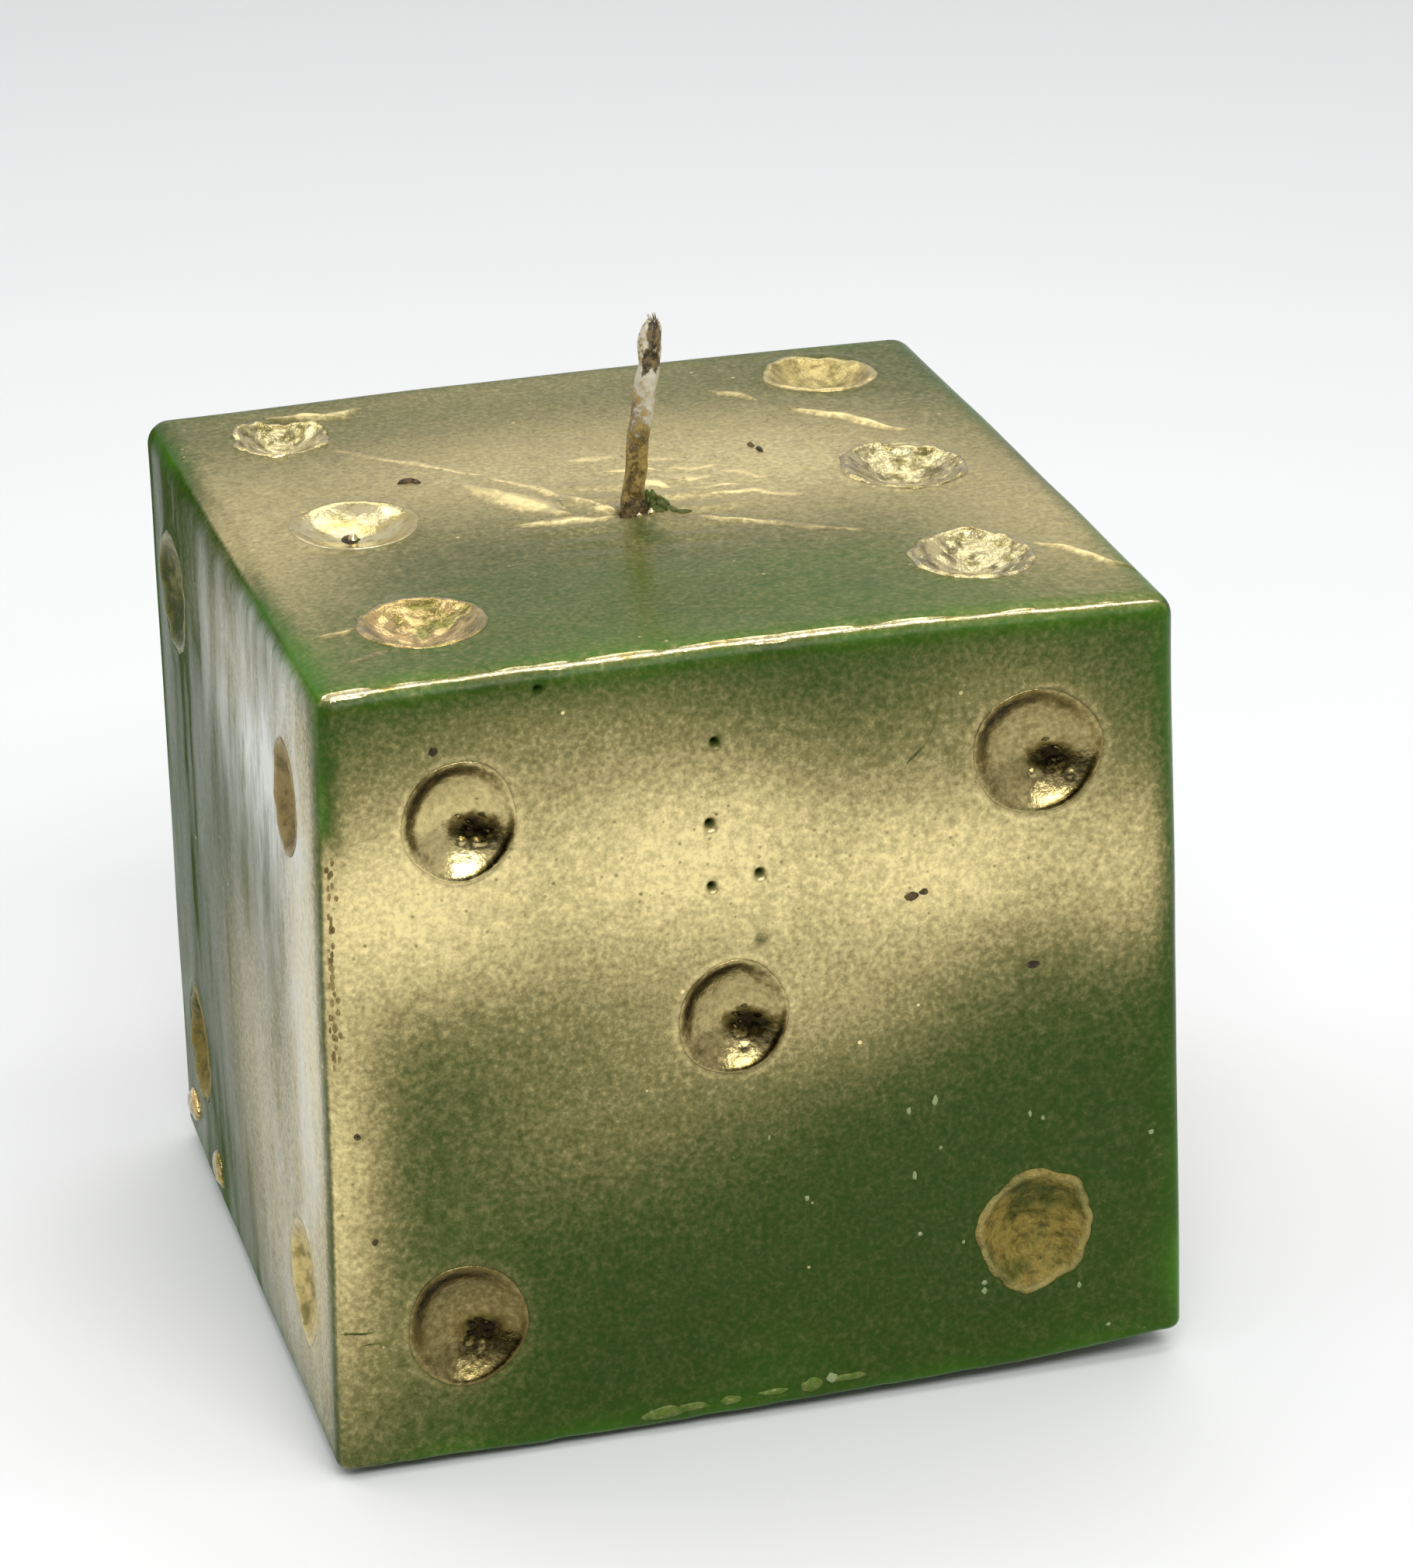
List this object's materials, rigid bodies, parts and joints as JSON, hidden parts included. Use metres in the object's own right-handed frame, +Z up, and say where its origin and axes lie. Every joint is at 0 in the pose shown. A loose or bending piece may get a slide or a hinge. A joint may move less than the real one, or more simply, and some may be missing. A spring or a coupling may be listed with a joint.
{
  "type": "dice candle",
  "caption": "Die-shaped wax candle with a central wick, round dimples for pips on its sides and top, and gold paint in each dimple.",
  "frame": {"origin": "centre of the base that the candle rests on", "axes": "+Z up along the wick, -Y out of the face with five pips, +X to the right when that face is seen from outside"},
  "size_m": [0.06, 0.06, 0.0729],
  "materials": {
    "green_wax": "semi-gloss paraffin wax, misted with gold paint",
    "gold_paint": "glossy metallic paint, hand-dabbed",
    "wick_cotton": "wax-coated braided cotton",
    "tab_steel": "tinned sheet"
  },
  "bodies": {
    "root": {"wax_body": "green_wax", "base_top_up": "green_wax", "wick": "wick_cotton", "wick_sustainer": "tab_steel", "pip_top_1": "gold_paint", "pip_top_2": "gold_paint", "pip_top_3": "gold_paint", "pip_top_4": "gold_paint", "pip_top_5": "gold_paint", "pip_top_6": "gold_paint", "pip_front_1": "gold_paint", "pip_front_2": "gold_paint", "pip_front_3": "gold_paint", "pip_front_4": "gold_paint", "pip_front_5": "gold_paint", "pip_left_1": "gold_paint", "pip_left_2": "gold_paint", "pip_left_3": "gold_paint", "pip_left_4": "gold_paint", "pip_right_1": "gold_paint", "pip_right_2": "gold_paint", "pip_right_3": "gold_paint", "pip_back_1": "gold_paint", "pip_back_2": "gold_paint"}
  },
  "joints": []
}
